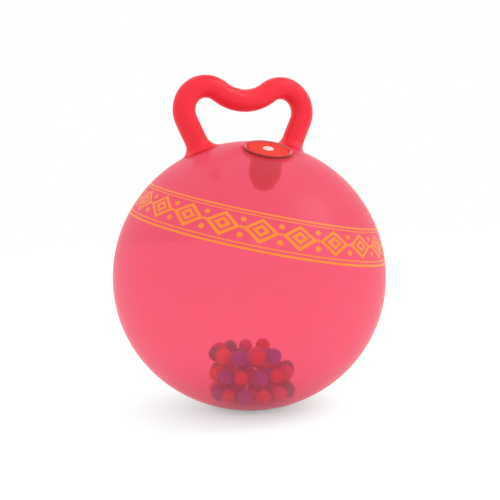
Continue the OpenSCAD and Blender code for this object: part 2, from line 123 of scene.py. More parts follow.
def solidFinish(name, low, high, rough, tintScale=40, reliefScale=900, reliefDepth=0.1,
                metallic=0.0, coat=0.0, sheen=0.0, shine=0.5):
    finish, tree = newFinish(name)
    tint, normal = grainNodes(tree, tintScale, reliefScale, reliefDepth)
    skin = addNode(tree, "ShaderNodeBsdfPrincipled", {
        "Base Color": tintMix(tree, tint, low, high), "Roughness": rough, "Metallic": metallic,
        "Specular IOR Level": shine, "Coat Weight": coat, "Coat Roughness": 0.08,
        "Sheen Weight": sheen, "Normal": normal})
    endFinish(tree, skin)
    return finish


vinyl = dict(tintScale=14, reliefScale=260, reliefDepth=0.05, rimPower=5.0)


# see-through vinyl: a tinted clear share, a coloured veil and gloss that grows to the rims
def clearFinish(name, tint, low, high, veil, rough, coat=0.4, fade=None, rim=0.85, shine=0.5,
                coatRough=0.05, shade=None):
    finish, tree = newFinish(name)
    spots, normal = grainNodes(tree, vinyl["tintScale"], vinyl["reliefScale"], vinyl["reliefDepth"])
    clear = addNode(tree, "ShaderNodeBsdfTransparent", {"Color": tint})
    paint = tintMix(tree, spots, low, high)
    if shade:  # light that goes on to the floor or the inner pieces is dimmed evenly
        path = addNode(tree, "ShaderNodeLightPath").outputs
        onward = calc(tree, "MAXIMUM", path["Is Shadow Ray"], path["Is Diffuse Ray"])
        tree.links.new(tintMix(tree, onward, tint, shade), clear.inputs["Color"])
        paint = tintMix(tree, onward, paint, shade)
    body = addNode(tree, "ShaderNodeBsdfPrincipled", {
        "Base Color": paint, "Roughness": rough, "Specular IOR Level": shine,
        "Coat Weight": coat, "Coat Roughness": coatRough, "Normal": normal})
    edge = addNode(tree, "ShaderNodeLayerWeight", {"Blend": 0.5, "Normal": normal})  # alike on both sides of the sheet
    steep = calc(tree, "POWER", edge.outputs["Facing"], vinyl["rimPower"])
    factor = addNode(tree, "ShaderNodeMapRange", {"Value": steep, "To Min": veil, "To Max": rim}).outputs[0]
    if fade:  # the piece thins out to nothing where its fade is zero
        run = addNode(tree, "ShaderNodeAttribute", attribute_name=fade).outputs["Fac"]
        factor = calc(tree, "MULTIPLY", factor, run)
        tree.links.new(tintMix(tree, run, (1, 1, 1, 1), tint), clear.inputs["Color"])
    endFinish(tree, addNode(tree, "ShaderNodeMixShader", {0: factor, 1: clear.outputs[0], 2: body.outputs[0]}))
    return finish


# ball: a sphere above its equator, a shoulder arc and a base arc below it, and a flat patch
ball = dict(radius=190.5, wall=2.2, sag=7.5, patch=2.0, insetShare=1.64, rings=130, around=220,
            podLean=22.5, mouthGap=0.1)
flatDrop = ball["sag"] - ball["patch"]
shoulderIn = ball["insetShare"] * flatDrop
shoulderR = ball["radius"] - shoulderIn
baseLift = (shoulderIn ** 2 - (shoulderIn - flatDrop) ** 2) / (2 * (shoulderIn - flatDrop))
baseR = ball["radius"] - flatDrop + baseLift
equatorZ = ball["radius"] - ball["sag"]
centre = Vector((0, 0, equatorZ))
lean = math.radians(ball["podLean"])
podAxis = Vector((0, -math.sin(lean), math.cos(lean)))
podSide = Vector((1, 0, 0))
podUp = podAxis.cross(podSide)
turnPoint = Vector((0, baseLift)) + baseR * Vector((shoulderIn, -baseLift)).normalized()


def ballReach(way, inset):  # distance from the centre to the skin
    c = way.z
    s = math.sqrt(max(0.0, 1 - c * c))
    if c >= 0:
        return ball["radius"] - inset
    if s * -turnPoint.y > -c * turnPoint.x:
        reach = s * shoulderIn + math.sqrt((s * shoulderIn) ** 2 - shoulderIn ** 2 + (shoulderR - inset) ** 2)
    else:
        reach = c * baseLift + math.sqrt((c * baseLift) ** 2 - baseLift ** 2 + (baseR - inset) ** 2)
    return min(reach, (equatorZ - inset) / -c)


def podRadial(turn):
    return podSide * math.cos(turn) + podUp * math.sin(turn)


def podPoint(r, turn, rise):  # a place in the pocket's own frame, zero at the ball's crown
    return centre + podAxis * (ball["radius"] + rise) + podRadial(turn) * r


pod = dict(lidR=28.0, lidRise=0.2, lidT=4.0, flangeT=3.0, coneH=5.0, podR=19.5, podH=53.1, taperH=15.0,
           tipR=10.5, gap=0.3, lipW=3.8, lipRise=0.8, pocketWall=2.0, weldW=5.5, weldT=0.8, buttonR=7.25, steps=128)
lipIn = pod["lidR"] + 2 * pod["gap"]
lipOut = lipIn + pod["lipW"]
weldR = lipOut + pod["weldW"]

vinylOuter = clearFinish("vinylOuter", (0.98, 0.355, 0.465, 1), (0.93, 0.085, 0.15, 1), (0.98, 0.105, 0.185, 1),
                         0.33, 0.36, 0.22, shine=0.45, coatRough=0.28, shade=(0.80, 0.68, 0.70, 1))
vinylInner = clearFinish("vinylInner", (1.0, 0.97, 0.97, 1), (0.95, 0.14, 0.24, 1), (0.97, 0.18, 0.28, 1),
                         0.02, 0.3, 0.0, rim=0.3, shine=0.3)


def makeBall():
    points, faces = [], []
    first = math.asin((lipOut + ball["mouthGap"]) / ball["radius"])
    rings, around = ball["rings"], ball["around"]
    for inset in (0.0, ball["wall"]):
        for i in range(rings):
            polar = first + (math.pi - first) * i / rings
            for j in range(around):
                turn = 2 * math.pi * j / around
                way = podAxis * math.cos(polar) + podRadial(turn) * math.sin(polar)
                points.append(centre + way * ballReach(way, inset))
        points.append(centre - podAxis * ballReach(-podAxis, inset))
    layer = rings * around + 1
    for start, inner in ((0, False), (layer, True)):
        for i in range(rings):
            for j in range(around):
                k = (j + 1) % around
                a, b = start + i * around + j, start + i * around + k
                if i < rings - 1:
                    face = [a, a + around, b + around, b]
                else:
                    face = [a, start + layer - 1, b]
                faces.append(face[::-1] if inner else face)
    for j in range(around):  # rim of the mouth
        k = (j + 1) % around
        faces.append([j, k, layer + k, layer + j])
    piece = makePiece("ballVinyl", points, faces, vinylOuter, vinylInner)
    inside = rings * around
    piece.data.polygons.foreach_set("material_index", [0] * inside + [1] * inside + [0] * around)
    dress(piece, "ball", "skin_vinyl", "ball_skin")


makeBall()
print("ball skin made")

# handle: rings swept over two humps and a dip, with flared feet that fade into the ball
handle = dict(gripR=15.5, wall=4.0, humpX=56.5, humpRise=41.5, humpR=33.0, dipRise=56.0, lean=25.0, fillet=15.0,
              flareTurn=88.0, footLift=0.1, fadeShare=0.5, sides=64, humpSteps=44, dipSteps=16, flareSteps=14, sharp=50)
handleVinyl = clearFinish("handleVinyl", (0.9, 0.12, 0.17, 1), (0.98, 0.018, 0.038, 1), (1.0, 0.026, 0.052, 1),
                          0.93, 0.42, 0.05, fade="footFade", rim=1.0, shine=0.25)


def makeHandle():
    h = handle
    tilt = math.radians(h["lean"])
    humpZ = ball["radius"] + h["humpRise"]
    lift = h["dipRise"] - h["humpRise"]
    dipR = (h["humpX"] ** 2 + lift ** 2 - h["humpR"] ** 2) / (2 * (h["humpR"] - lift))
    dipZ = ball["radius"] + h["dipRise"] + dipR
    join = math.atan2(dipZ - humpZ, h["humpX"])
    legTop = Vector((h["humpX"] + h["humpR"] * math.cos(tilt), 0, humpZ - h["humpR"] * math.sin(tilt)))
    legUp = Vector((math.sin(tilt), 0, math.cos(tilt)))
    legOut = Vector((math.cos(tilt), 0, -math.sin(tilt)))
    along = legTop.dot(legUp)
    foot = legTop - (along - math.sqrt(along ** 2 - legTop.length_squared + ball["radius"] ** 2)) * legUp
    sides = h["sides"]

    def spoke(out, i):
        turn = 2 * math.pi * i / sides
        return math.cos(turn) * out + math.sin(turn) * Vector((0, 1, 0))

    def footBlend(share):  # soft start at the foot's outer edge
        t = min(1.0, share / h["fadeShare"])
        return t * t * (3 - 2 * t)

    def footRing(r, rise):  # a ring round the leg, dropped along it to a shell round the ball
        ring = []
        for i in range(sides):
            p = foot + r * spoke(legOut, i)
            up = p.dot(legUp)
            shell = ball["radius"] + h["footLift"] + rise
            ring.append(p + (math.sqrt(up ** 2 - p.length_squared + shell ** 2) - up) * legUp)
        return ring

    def halfRings(r, flared):
        rings = []
        if flared:
            for i in range(h["flareSteps"] + 1):
                turn = math.radians(h["flareTurn"]) * (1 - i / h["flareSteps"])
                out, rise = h["fillet"] * (1 - math.cos(turn)), h["fillet"] * (1 - math.sin(turn))
                rings.append((footRing(r + out, rise), footBlend(i / h["flareSteps"])))
        else:
            rings.append((footRing(r, 0.0), 0.0))
        for i in range(h["humpSteps"] + 1):
            turn = -tilt + (math.pi - join + tilt) * i / h["humpSteps"]
            out = Vector((math.cos(turn), 0, math.sin(turn)))
            mid = Vector((h["humpX"], 0, humpZ)) + h["humpR"] * out
            rings.append(([mid + r * spoke(out, k) for k in range(sides)], 1.0))
        for i in range(1, h["dipSteps"] + 1):
            turn = -join - (math.pi / 2 - join) * i / h["dipSteps"]
            out = -Vector((math.cos(turn), 0, math.sin(turn)))
            mid = Vector((0, 0, dipZ)) - dipR * out
            rings.append(([mid + r * spoke(out, k) for k in range(sides)], 1.0))
        other = [([Vector((-p.x, p.y, p.z)) for p in ring], fade) for ring, fade in rings[-2::-1]]
        return rings + other

    points, fades, faces = [], [], []
    outer, bore = halfRings(h["gripR"], True), halfRings(h["gripR"] - h["wall"], False)
    for ring, fade in outer + bore:
        points += [p + centre for p in ring]
        fades += [fade] * sides
    boreStart = len(outer) * sides
    steps = [(start + i * sides, start + (i + 1) * sides)
             for start, count in ((0, len(outer)), (boreStart, len(bore))) for i in range(count - 1)]
    steps += [(boreStart, 0), ((len(outer) - 1) * sides, boreStart + (len(bore) - 1) * sides)]  # undersides of the feet
    for a, b in steps:
        for k in range(sides):
            n = (k + 1) % sides
            faces.append([a + k, b + k, b + n, a + n])
    piece = makePiece("handleVinyl", points, faces, handleVinyl)
    run = piece.data.attributes.new("footFade", "FLOAT", "POINT")
    run.data.foreach_set("value", fades)
    tidyMesh(piece.data, h["sharp"])
    dress(piece, "ball", "handle_vinyl", "handle")


makeHandle()
print("handle made")


# turned pieces: a closed outline of (radius, level, corner rounding) spun round the pocket's axis
def roundedOutline(outline, arcSteps=6):
    done = []
    count = len(outline)
    for i, (r, w, rounding) in enumerate(outline):
        p = Vector((r, w))
        if rounding <= 0:
            done.append(p)
            continue
        before = (Vector(outline[i - 1][:2]) - p).normalized()
        after = (Vector(outline[(i + 1) % count][:2]) - p).normalized()
        half = before.angle(after) / 2
        reach = rounding / math.tan(half)
        hub = p + (before + after).normalized() * rounding / math.sin(half)
        a, b = p + before * reach - hub, p + after * reach - hub
        for k in range(arcSteps + 1):
            way = a.lerp(b, k / arcSteps).normalized() * rounding
            done.append(hub + way)
    return done


def turnedPiece(name, outline, finish, steps, sharp=32):
    profile = roundedOutline(outline)
    points, faces = [], []
    count = len(profile)
    for j in range(steps):
        turn = 2 * math.pi * j / steps
        points += [podPoint(max(p.x, 0.0), turn, p.y) for p in profile]
    for j in range(steps):
        a, b = j * count, ((j + 1) % steps) * count
        for i in range(count):
            n = (i + 1) % count
            faces.append([a + i, a + n, b + n, b + i])
    piece = makePiece(name, points, faces, finish)
    tidyMesh(piece.data, sharp)
    return piece


def crown(r, rise):  # level of a shell round the ball at a radius from the pocket's axis
    return math.sqrt((ball["radius"] + rise) ** 2 - r * r) - ball["radius"]


# pocket: cup, sloping lip and a weld band with a shallow groove that lies on the skin
lip = dict(drop=0.4, crestIn=0.9, crestRise=0.1, toe=0.6, weldSteps=5, grooveStep=3, groove=0.25, under=0.15, underToe=0.3)
pocketVinyl = clearFinish("pocketVinyl", (1.0, 0.42, 0.30, 1), (0.98, 0.09, 0.04, 1), (1.0, 0.12, 0.06, 1),
                          0.34, 0.25, 0.2, shine=0.35)
lipVinyl = clearFinish("lipVinyl", (0.97, 0.34, 0.44, 1), (0.86, 0.09, 0.14, 1), (0.94, 0.12, 0.18, 1), 0.62, 0.22, 0.3)
weldVinyl = clearFinish("weldVinyl", (1.0, 0.90, 0.91, 1), (0.95, 0.10, 0.17, 1), (1.0, 0.13, 0.20, 1),
                        0.08, 0.35, 0.15, rim=0.5, shine=0.35)
# painted shade: a dark brown finish on the lip's outer wall that stands in for the shadow there
lipPaintedShade = clearFinish("lipPaintedShade", (0.60, 0.08, 0.08, 1), (0.24, 0.010, 0.008, 1), (0.32, 0.016, 0.012, 1),
                       0.8, 0.3, 0.1, shine=0.3)


def makePocket():
    p = pod
    top = p["lidRise"] + p["lipRise"]
    seat = p["lidRise"] - p["lidT"] - p["flangeT"] - p["gap"]
    cupR = p["podR"] + p["gap"]
    tipR = p["tipR"] + p["gap"]
    tip = p["lidRise"] - p["podH"]
    floorZ = tip - p["gap"]
    taper = tip + p["taperH"]
    wall = p["pocketWall"]
    toe = lipOut + lip["toe"]
    underToe = lipOut + lip["underToe"]
    outline = [(0, floorZ, 0), (tipR, floorZ, 1.5), (cupR, taper, 3), (cupR, seat - p["coneH"], 2), (lipIn, seat, 0.8),
               (lipIn, p["lidRise"] - lip["drop"], 0.2), (lipOut - lip["crestIn"], top + lip["crestRise"], 0.4),
               (lipOut, top - lip["drop"], 0.3), (toe, crown(toe, p["weldT"]), 0)]
    for k in range(1, lip["weldSteps"] + 1):
        r = toe + (weldR - toe) * k / lip["weldSteps"]
        outline.append((r, crown(r, p["weldT"]) - (lip["groove"] if k == lip["grooveStep"] else 0), 0))
    outline += [(weldR, crown(weldR, lip["under"]), 0), (underToe, crown(underToe, lip["under"]), 0),
                (lipOut, seat - wall, 0.8), (cupR + wall, seat - p["coneH"] - wall, 2), (cupR + wall, taper, 3),
                (tipR + wall, floorZ - wall, 2), (0, floorZ - wall, 0)]
    piece = turnedPiece("pocketVinyl", outline, pocketVinyl, p["steps"])
    for finish in (lipVinyl, weldVinyl, lipPaintedShade):
        piece.data.materials.append(finish)
    for face in piece.data.polygons:
        out = face.center / mm - centre
        rise = out.dot(podAxis) - ball["radius"]
        r = (out - podAxis * out.dot(podAxis)).length
        raised = rise > crown(lipOut, 0.0)
        if r > lipOut + 0.4:  # weld band
            face.material_index = 2
        elif r > lipOut - 0.5 and raised and face.normal.dot(podAxis) < 0.6:  # outer wall of the lip, given a dark finish as painted shade
            face.material_index = 3
        elif r > lipIn - 0.3 and raised:
            face.material_index = 1
    dress(piece, "ball", "pocket_vinyl", "pocket")


# lid: disc with a bore for the button and a shallow groove inside its rim
lid = dict(boreGap=0.2, grooveIn=5.0, grooveMid=4.6, grooveOut=4.0, grooveDeep=0.25, rimDrop=0.05)
lidOrange = solidFinish("lidOrange", (0.82, 0.022, 0.002, 1), (0.88, 0.032, 0.004, 1), 0.42, 30, 700, 0.06, shine=0.18)


def makeLid():
    face, rimR = pod["lidRise"], pod["lidR"]
    bottom = face - pod["lidT"]
    bore = pod["buttonR"] + lid["boreGap"]
    outline = [(bore, face, 0.5), (rimR - lid["grooveIn"], face, 0), (rimR - lid["grooveMid"], face - lid["grooveDeep"], 0),
               (rimR - lid["grooveOut"], face - lid["rimDrop"], 0), (rimR, face, 2.2),
               (rimR, bottom, 0.3), (bore, bottom, 0.3)]
    dress(turnedPiece("lidOrange", outline, lidOrange, pod["steps"]), "light_pod", "lid_plastic", "pod_lid")


makePocket()
makeLid()
print("pocket and lid made")

# white cap with a pale pink disc in the middle
button = dict(discR=3.6, fadeR=4.8, pink=(0.84, 0.58, 0.62, 1), low=(0.84, 0.79, 0.78, 1), high=(0.91, 0.87, 0.86, 1))


def buttonFinish():
    finish, tree = newFinish("buttonWhite")
    tint, normal = grainNodes(tree, 60, 900, 0.03)
    place = addNode(tree, "ShaderNodeTexCoord").outputs["Object"]
    out = vectorCalc(tree, "SUBTRACT", place, centre * mm)[0]
    far = vectorCalc(tree, "LENGTH", vectorCalc(tree, "CROSS_PRODUCT", out, podAxis)[0])["Value"]
    disc = addNode(tree, "ShaderNodeMapRange", {
        "Value": far, "From Min": button["discR"] * mm, "From Max": button["fadeR"] * mm, "To Min": 1.0, "To Max": 0.0})
    white = tintMix(tree, tint, button["low"], button["high"])
    endFinish(tree, addNode(tree, "ShaderNodeBsdfPrincipled", {
        "Base Color": tintMix(tree, disc.outputs[0], white, button["pink"]), "Roughness": 0.35,
        "Coat Weight": 0.3, "Coat Roughness": 0.08, "Normal": normal}))
    return finish


# inner pieces and small parts keep their solids and get their own finishes
finishes = dict(
    buttonWhite=buttonFinish(),
    plugClear=clearFinish("plugClear", (1.0, 0.94, 0.95, 1), (0.92, 0.74, 0.75, 1), (0.95, 0.80, 0.81, 1),
                          0.07, 0.3, 0.2, rim=0.5),
    podPlastic=clearFinish("podPlastic", (1.0, 0.42, 0.22, 1), (0.98, 0.13, 0.025, 1), (1.0, 0.17, 0.04, 1),
                           0.7, 0.4, 0.1, shine=0.3),
    sealRubber=solidFinish("sealRubber", (0.05, 0.008, 0.008, 1), (0.08, 0.012, 0.012, 1), 0.7),
    steelPlain=solidFinish("steelPlain", (0.55, 0.55, 0.57, 1), (0.68, 0.68, 0.70, 1), 0.32, 120, 1500, 0.02, 1.0),
    blackPlastic=solidFinish("blackPlastic", (0.010, 0.010, 0.010, 1), (0.022, 0.022, 0.024, 1), 0.45),
    boardGreen=solidFinish("boardGreen", (0.010, 0.10, 0.035, 1), (0.016, 0.14, 0.055, 1),
                           0.35, 300, 2000, 0.02, coat=0.4),
    resistorBody=solidFinish("resistorBody", (0.52, 0.36, 0.16, 1), (0.62, 0.45, 0.22, 1), 0.4, 250),
    trayPlastic=solidFinish("trayPlastic", (0.74, 0.71, 0.62, 1), (0.80, 0.77, 0.68, 1), 0.5),
    contactBrass=solidFinish("contactBrass", (0.70, 0.46, 0.14, 1), (0.80, 0.56, 0.20, 1), 0.3, 150, 1500, 0.02, 1.0),
    cellSteel=solidFinish("cellSteel", (0.62, 0.62, 0.62, 1), (0.74, 0.74, 0.74, 1), 0.25, 200, 1800, 0.015, 1.0),
    lampClear=clearFinish("lampClear", (0.95, 0.97, 1.0, 1), (0.78, 0.82, 0.88, 1), (0.84, 0.88, 0.94, 1),
                          0.35, 0.1, 0.5),
    seatVinyl=clearFinish("seatVinyl", (1.0, 0.94, 0.95, 1), (0.95, 0.10, 0.17, 1), (1.0, 0.14, 0.21, 1),
                          0.025, 0.3, 0.2, rim=0.15),
)
wornBy = dict(
    buttonWhite=["push_button"], plugClear=["valve_plug"], seatVinyl=["valve_seat"], podPlastic=["pod_shell"],
    sealRubber=["lid_gasket", "pod_seal"], steelPlain=["lid_screws", "board_screws", "motion_switch", "negative_spring"],
    blackPlastic=["switch_body", "switch_plunger", "control_chip"], boardGreen=["main_board"],
    resistorBody=["resistors"], trayPlastic=["battery_tray"], contactBrass=["positive_contact"],
    cellSteel=["cell_1", "cell_2", "cell_3"], lampClear=["led_1", "led_2", "led_3"])
for finishName, nodeNames in wornBy.items():
    for nodeName in nodeNames:
        slots = nodes[nodeName].data.materials
        slots.clear()
        slots.append(finishes[finishName])
print("small parts finished")

# pompoms: fuzzy yarn balls in rings on shells round the ball's centre
pompom = dict(size=25.0, gap=0.3, coreShare=0.80, smallest=0.82, layerTurn=23.0, ringStep=6, slopeCount=9, seed=7,
              lumpScale=260.0, lumpDepth=2.2, fibres=1500, fibreWidth=0.28, fibreTip=0.04, fibreLength=2.9,
              fibreTilt=0.5, fibreShortest=0.65, fullTurn=6.28)
yarns = dict(red=((0.80, 0.012, 0.018, 1), (0.92, 0.028, 0.036, 1)),
             orange=((0.90, 0.13, 0.012, 1), (0.98, 0.22, 0.025, 1)),
             pink=((0.82, 0.05, 0.20, 1), (0.92, 0.09, 0.30, 1)),
             violet=((0.20, 0.08, 0.46, 1), (0.28, 0.12, 0.60, 1)),
             teal=((0.10, 0.22, 0.24, 1), (0.15, 0.31, 0.33, 1)))


def ringPlace(layer, ring, i):
    step = pompom["size"] + pompom["gap"]
    shell = equatorZ - ball["wall"] - pompom["gap"] - pompom["size"] / 2 - layer * step
    polar = ring * math.asin(step / shell)
    apart = 2 * math.asin(step / (2 * shell * math.sin(polar))) if ring else 0.0
    turn = math.radians(pompom["layerTurn"]) * layer + apart * i
    out = math.sin(polar)
    return shell * Vector((out * math.cos(turn), out * math.sin(turn), -math.cos(polar))) + centre


def ringPlaces(layer, rings):
    return [ringPlace(layer, ring, i) for ring in range(rings + 1) for i in range(max(1, pompom["ringStep"] * ring))]


slope = [ringPlace(2, 2, i) for i in range(pompom["slopeCount"])]  # part of the top layer's outer ring
layers = dict(low=ringPlaces(0, 2), mid=ringPlaces(1, 2), top=ringPlaces(2, 1) + slope)


def newTree(name, inputs):
    tree = bpy.data.node_groups.new(name, "GeometryNodeTree")
    face = tree.interface
    face.new_socket("Geometry", in_out="INPUT", socket_type="NodeSocketGeometry")
    for label, (kind, value) in inputs.items():
        made = face.new_socket(label, in_out="INPUT", socket_type="NodeSocket" + kind)
        if value is not None:
            made.default_value = value
    face.new_socket("Geometry", in_out="OUTPUT", socket_type="NodeSocketGeometry")
    return tree, addNode(tree, "NodeGroupInput").outputs


def endTree(tree, shape, finish):
    smooth = addNode(tree, "GeometryNodeSetShadeSmooth", {0: shape})
    paint = addNode(tree, "GeometryNodeSetMaterial", {"Geometry": smooth.outputs[0], "Material": finish})
    tree.links.new(paint.outputs[0], addNode(tree, "NodeGroupOutput").inputs[0])


def socketKey(tree, name):
    return next(item.identifier for item in tree.interface.items_tree
                if item.item_type == "SOCKET" and item.in_out == "INPUT" and item.name == name)


def bakeTree(name, tree, points, values):
    holder = makePiece(name + "Holder", points, [])
    mod = holder.modifiers.new("build", "NODES")
    mod.node_group = tree
    for key, value in values.items():
        mod[socketKey(tree, key)] = value
    bpy.context.view_layer.update()
    made = bpy.data.meshes.new_from_object(holder.evaluated_get(bpy.context.evaluated_depsgraph_get()))
    made.name = name
    bpy.data.objects.remove(holder)
    piece = bpy.data.objects.new(name, made)
    scene.collection.objects.link(piece)
    return piece


def pompomTree():
    tree, given = newTree("pompomYarn", {
        "Core Radius": ("Float", 0.01), "Fibre Count": ("Float", 1.0), "Fibre Length": ("Float", 0.003),
        "Fibre Width": ("Float", 0.0003), "Smallest Share": ("Float", 0.9), "Seed": ("Int", 7), "Yarn": ("Material", None)})

    def draw(low, high):  # seeded draw between two numbers or two sets of three
        first, kind = (0, "FLOAT_VECTOR") if isinstance(high, tuple) else (2, "FLOAT")
        made = addNode(tree, "FunctionNodeRandomValue", {first: low, first + 1: high, "Seed": given["Seed"]}, data_type=kind)
        return made.outputs[first // 2]

    def turnBy(euler):
        return addNode(tree, "FunctionNodeEulerToRotation", {0: euler}).outputs[0]

    core = addNode(tree, "GeometryNodeMeshIcoSphere", {"Radius": given["Core Radius"], "Subdivisions": 4}).outputs[0]
    lumps = addNode(tree, "ShaderNodeTexNoise", {"Scale": pompom["lumpScale"], "Detail": 2.0})
    lumpy = calc(tree, "MULTIPLY", lumps.outputs[0], pompom["lumpDepth"] * mm)
    facing = addNode(tree, "GeometryNodeInputNormal").outputs[0]
    push = addNode(tree, "ShaderNodeVectorMath", {0: facing, "Scale": lumpy}, operation="SCALE")
    body = addNode(tree, "GeometryNodeSetPosition", {"Geometry": core, "Offset": push.outputs[0]})
    spread = addNode(tree, "GeometryNodeDistributePointsOnFaces", {
        "Mesh": core, "Density": given["Fibre Count"], "Seed": given["Seed"]}).outputs
    fibre = addNode(tree, "GeometryNodeMeshCone", {
        "Vertices": 3, "Radius Top": pompom["fibreTip"] * mm, "Radius Bottom": given["Fibre Width"],
        "Depth": given["Fibre Length"]}, fill_type="NONE")
    reach, full = pompom["fibreTilt"], pompom["fullTurn"]
    tilt = turnBy(draw((-reach, -reach, 0.0), (reach, reach, full)))
    stand = addNode(tree, "FunctionNodeRotateRotation", {0: spread["Rotation"], 1: tilt}, rotation_space="LOCAL")
    fuzz = addNode(tree, "GeometryNodeInstanceOnPoints", {
        "Points": spread["Points"], "Instance": fibre.outputs[0], "Rotation": stand.outputs[0],
        "Scale": draw(pompom["fibreShortest"], 1.0)})
    join = addNode(tree, "GeometryNodeJoinGeometry")
    tree.links.new(body.outputs[0], join.inputs[0])
    tree.links.new(fuzz.outputs[0], join.inputs[0])
    whole = addNode(tree, "GeometryNodeRealizeInstances", {0: join.outputs[0]})
    heap = addNode(tree, "GeometryNodeInstanceOnPoints", {
        "Points": given["Geometry"], "Instance": whole.outputs[0],
        "Rotation": turnBy(draw((0, 0, 0), (full, full, full))), "Scale": draw(given["Smallest Share"], 1.0)})
    endTree(tree, addNode(tree, "GeometryNodeRealizeInstances", {0: heap.outputs[0]}).outputs[0], given["Yarn"])
    return tree


def makePompoms():
    tree = pompomTree()
    coreR = pompom["coreShare"] * pompom["size"] / 2 * mm
    wool = {colour: solidFinish("yarn" + colour.capitalize(), low, high, 0.9, 420, 1600, 0.3, sheen=0.4)
            for colour, (low, high) in yarns.items()}
    total = 0
    for layer, places in layers.items():
        for n, colour in enumerate(yarns):
            mine = [p for i, p in enumerate(places) if (2 * i + i // len(yarns)) % len(yarns) == n]
            piece = bakeTree("pompoms" + layer.capitalize() + colour.capitalize(), tree, mine, {
                "Core Radius": coreR, "Fibre Count": pompom["fibres"] / (4 * math.pi * coreR ** 2),
                "Fibre Length": pompom["fibreLength"] * mm, "Fibre Width": pompom["fibreWidth"] * mm,
                "Smallest Share": pompom["smallest"], "Seed": pompom["seed"] + n, "Yarn": wool[colour]})
            dress(piece, layer + "_pompoms", "pompom_" + colour, "pompoms_" + layer + "_" + colour)
            total += len(piece.data.polygons)
    return total


print("pompoms made, faces:", makePompoms())

# camera at the photograph's angle
shot = dict(azimuth=-24.03, elevation=3.934, roll=-1.591, distance=1.2, side=0.00192, aimHeight=0.22121,
            focalPixels=852.61, framePixels=500, sensor=36.0)
az, el, roll = (math.radians(shot[k]) for k in ("azimuth", "elevation", "roll"))
viewBack = Vector((math.sin(az) * math.cos(el), -math.cos(az) * math.cos(el), math.sin(el)))
viewRight = Vector((math.cos(az), math.sin(az), 0))
viewUp = viewBack.cross(viewRight)
rolledRight = viewRight * math.cos(roll) + viewUp * math.sin(roll)
rolledUp = viewUp * math.cos(roll) - viewRight * math.sin(roll)
lens = bpy.data.cameras.new("photoCamera")
lens.sensor_width = shot["sensor"]
lens.lens = shot["focalPixels"] / shot["framePixels"] * shot["sensor"]
camera = bpy.data.objects.new("photoCamera", lens)
camera.matrix_world = Matrix((rolledRight, rolledUp, viewBack)).transposed().to_4x4()
camera.location = Vector((0, 0, shot["aimHeight"])) + viewRight * shot["side"] + viewBack * shot["distance"]
scene.collection.objects.link(camera)
scene.camera = camera

# printed band: border lines, ringed diamonds and dots, laid on the ball; sizes are shares of its pitch or half height
band = dict(tilt=(0.196, 0.973, 0.125), latitude=26.5, half=8.6, line=2.8, count=22, lift=0.12, hoopSides=240,
            diamonds=((0.94, 1.30), (0.66, 0.91), (0.46, 0.64), (0.20, 0.28)), dot=0.13, dotRise=0.40, bead=0.075,
            lines=((0.95, 1.0), (0.76, 0.6)))


# ink that covers from outside and lets the light through from inside
def inkFinish():
    finish, tree = newFinish("printOrange")
    tint, normal = grainNodes(tree, 60, 600, 0.04)
    skin = addNode(tree, "ShaderNodeBsdfPrincipled", {
        "Base Color": tintMix(tree, tint, (0.96, 0.24, 0.015, 1), (1.0, 0.30, 0.025, 1)), "Roughness": 0.4,
        "Specular IOR Level": 0.3, "Normal": normal})
    clear = addNode(tree, "ShaderNodeBsdfTransparent", {"Color": (1.0, 0.93, 0.92, 1)})
    side = addNode(tree, "ShaderNodeNewGeometry").outputs["Backfacing"]
    endFinish(tree, addNode(tree, "ShaderNodeMixShader", {0: side, 1: skin.outputs[0], 2: clear.outputs[0]}))
    return finish


